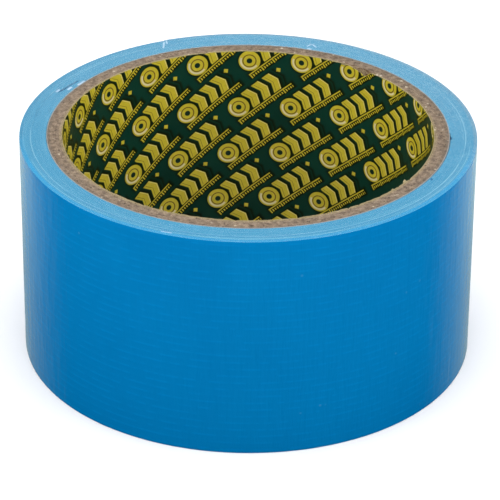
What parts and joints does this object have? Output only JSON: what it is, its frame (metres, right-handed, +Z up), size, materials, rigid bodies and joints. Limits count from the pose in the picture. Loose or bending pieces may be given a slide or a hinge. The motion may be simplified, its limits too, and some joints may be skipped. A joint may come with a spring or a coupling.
{
  "type": "cloth tape roll",
  "caption": "Wide roll of cloth-reinforced adhesive tape wound on a printed paperboard core, with a free end that peels off the roll.",
  "frame": {"origin": "centre of the core's bore, in the plane of the bottom edges of core and tape", "axes": "+Z up along the roll's axis; the wound strip runs outward anticlockwise seen from +Z, and its free end lies on the +Y side"},
  "size_m": [0.0937, 0.0937, 0.048],
  "materials": {
    "printed_liner": "satin printed paper",
    "core_board": "matte fibrous board",
    "core_wrap": "matte paper",
    "adhesive": "tacky satin",
    "scrim": "open weave cotton",
    "film": "satin film over a weave"
  },
  "bodies": {
    "roll": {"printed_liner": "printed_liner", "core_ply_1": "core_board", "core_ply_2": "core_board", "core_ply_3": "core_board", "core_ply_4": "core_board", "core_ply_5": "core_board", "core_outer_wrap": "core_wrap", "adhesive_coat": "adhesive", "scrim_cloth": "scrim", "backing_film": "film"},
    "tail_1": {"tail_adhesive_1": "adhesive", "tail_scrim_1": "scrim", "tail_film_1": "film"},
    "tail_2": {"tail_adhesive_2": "adhesive", "tail_scrim_2": "scrim", "tail_film_2": "film"},
    "tail_3": {"tail_adhesive_3": "adhesive", "tail_scrim_3": "scrim", "tail_film_3": "film"},
    "tail_4": {"tail_adhesive_4": "adhesive", "tail_scrim_4": "scrim", "tail_film_4": "film"}
  },
  "joints": [
    {"name": "tail_peel", "type": "hinge", "parent": "roll", "child": "tail_1", "pos_m": [0.02052, 0.04215, 0.024], "axis": [0, 0, -1], "range_deg": [0, 60]},
    {"name": "tail_bend_2", "type": "hinge", "parent": "tail_1", "child": "tail_2", "pos_m": [0.01111, 0.04556, 0.024], "axis": [0, 0, -1], "range_deg": [0, 15]},
    {"name": "tail_bend_3", "type": "hinge", "parent": "tail_2", "child": "tail_3", "pos_m": [0.00119, 0.04688, 0.024], "axis": [0, 0, -1], "range_deg": [0, 15]},
    {"name": "tail_bend_4", "type": "hinge", "parent": "tail_3", "child": "tail_4", "pos_m": [-0.00879, 0.04608, 0.024], "axis": [0, 0, -1], "range_deg": [0, 15]}
  ],
  "couplings": [
    {"joint": "tail_bend_2", "follows": "tail_peel", "ratio": 0.25},
    {"joint": "tail_bend_3", "follows": "tail_peel", "ratio": 0.25},
    {"joint": "tail_bend_4", "follows": "tail_peel", "ratio": 0.25}
  ]
}
